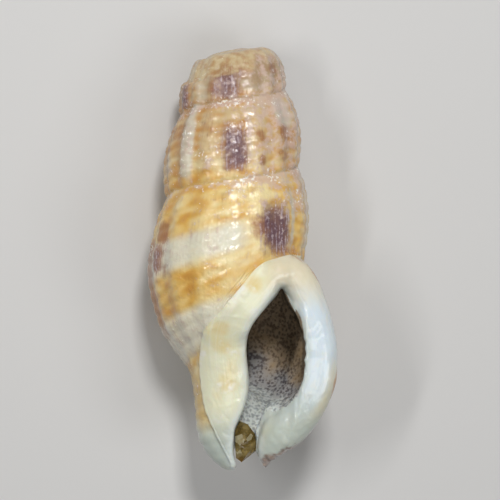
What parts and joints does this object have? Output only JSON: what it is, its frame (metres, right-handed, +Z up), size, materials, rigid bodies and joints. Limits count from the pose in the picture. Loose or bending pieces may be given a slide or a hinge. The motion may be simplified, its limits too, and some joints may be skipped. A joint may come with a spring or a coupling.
{
  "type": "sea snail shell",
  "caption": "Small ribbed sea snail shell with a broken-off apex, lying on its back with the aperture up and a sand grain in its canal.",
  "frame": {"origin": "under the middle of the shell's bounding box, on the surface it lies on", "axes": "+Y along the shell's length towards the broken apex, +X towards the outer lip's side, +Z up, the way the aperture faces"},
  "size_m": [0.0068, 0.0158, 0.0063],
  "materials": {
    "shell": "satin",
    "grain": "glossy"
  },
  "bodies": {
    "root": {"shell": "shell", "canal_grain": "grain"}
  },
  "joints": []
}
